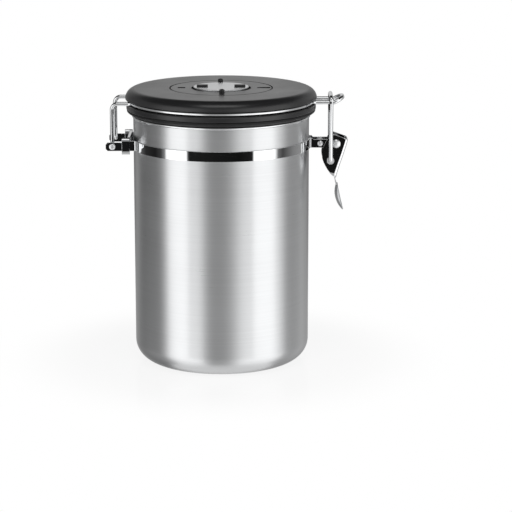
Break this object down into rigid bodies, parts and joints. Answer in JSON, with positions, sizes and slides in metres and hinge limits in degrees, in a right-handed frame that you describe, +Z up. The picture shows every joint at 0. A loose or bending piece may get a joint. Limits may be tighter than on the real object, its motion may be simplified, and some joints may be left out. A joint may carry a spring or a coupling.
{
  "type": "coffee canister with valve",
  "caption": "Round steel food canister with a hinged plastic lid, wire hoop, lever latch, date dial, silicone gasket and gas valve.",
  "frame": {"origin": "centre of the base, on the surface that it stands on", "axes": "+Z up along the vessel axis, -X towards the lid hinge, +X towards the latch, -Y is the front"},
  "size_m": [0.1644, 0.1306, 0.1916],
  "materials": {
    "vessel_steel": "stainless steel, brushed round the body",
    "bright_steel": "polished stainless sheet",
    "wire_steel": "polished stainless wire",
    "rivet_steel": "bright plated steel",
    "disc_steel": "fine satin stainless steel",
    "lid_plastic": "fine matt moulded plastic",
    "dial_plastic": "fine matt moulded plastic",
    "grip_plastic": "black moulded plastic",
    "number_print": "pale printed plastic",
    "valve_plastic": "black moulded plastic",
    "silicone": "black silicone",
    "felt": "pressed felt"
  },
  "bodies": {
    "canister": {"vessel": "vessel_steel", "band_front": "bright_steel", "band_rear": "bright_steel", "hinge_bridge": "bright_steel", "arm_rivet": "rivet_steel", "arm_spacer": "rivet_steel", "pivot_rivet": "rivet_steel", "pivot_spacer": "rivet_steel"},
    "lid": {"lid_cap": "lid_plastic", "lid_base": "lid_plastic", "lid_gasket": "silicone", "lid_wire": "wire_steel", "lid_screws": "rivet_steel", "number_plate": "number_print", "valve_housing": "valve_plastic", "valve_filter": "felt", "valve_cap": "valve_plastic"},
    "day_ring": {"day_ring": "dial_plastic", "ring_pegs": "grip_plastic"},
    "month_dial": {"month_dial": "grip_plastic", "steel_disc": "disc_steel", "dial_screw": "rivet_steel"},
    "valve_disc": {"valve_diaphragm": "silicone"},
    "lever": {"latch_lever": "bright_steel"},
    "bail": {"bail_wire": "wire_steel", "bail_washers": "rivet_steel"}
  },
  "joints": [
    {"name": "lid_hinge", "type": "hinge", "parent": "canister", "child": "lid", "pos_m": [-0.0735, 0, 0.1514], "axis": [0, -1, 0], "range_deg": [0, 200]},
    {"name": "lever_pivot", "type": "hinge", "parent": "canister", "child": "lever", "pos_m": [0.0785, 0, 0.1514], "axis": [0, -1, 0], "range_deg": [0, 115]},
    {"name": "bail_swing", "type": "hinge", "parent": "lever", "child": "bail", "pos_m": [0.0747, 0, 0.1397], "axis": [0, -1, 0], "range_deg": [-93, 1]},
    {"name": "day_ring_turn", "type": "hinge", "parent": "lid", "child": "day_ring", "pos_m": [0, 0, 0.1885], "axis": [0, 0, 1], "continuous": true},
    {"name": "month_dial_turn", "type": "hinge", "parent": "lid", "child": "month_dial", "pos_m": [0, 0, 0.1885], "axis": [0, 0, 1], "continuous": true},
    {"name": "valve_lift", "type": "slide", "parent": "lid", "child": "valve_disc", "axis": [0, 0, 1], "range_m": [0, 0.0006]}
  ],
  "couplings": [
    {"joint": "bail_swing", "follows": "lever_pivot", "ratio": -0.8}
  ]
}
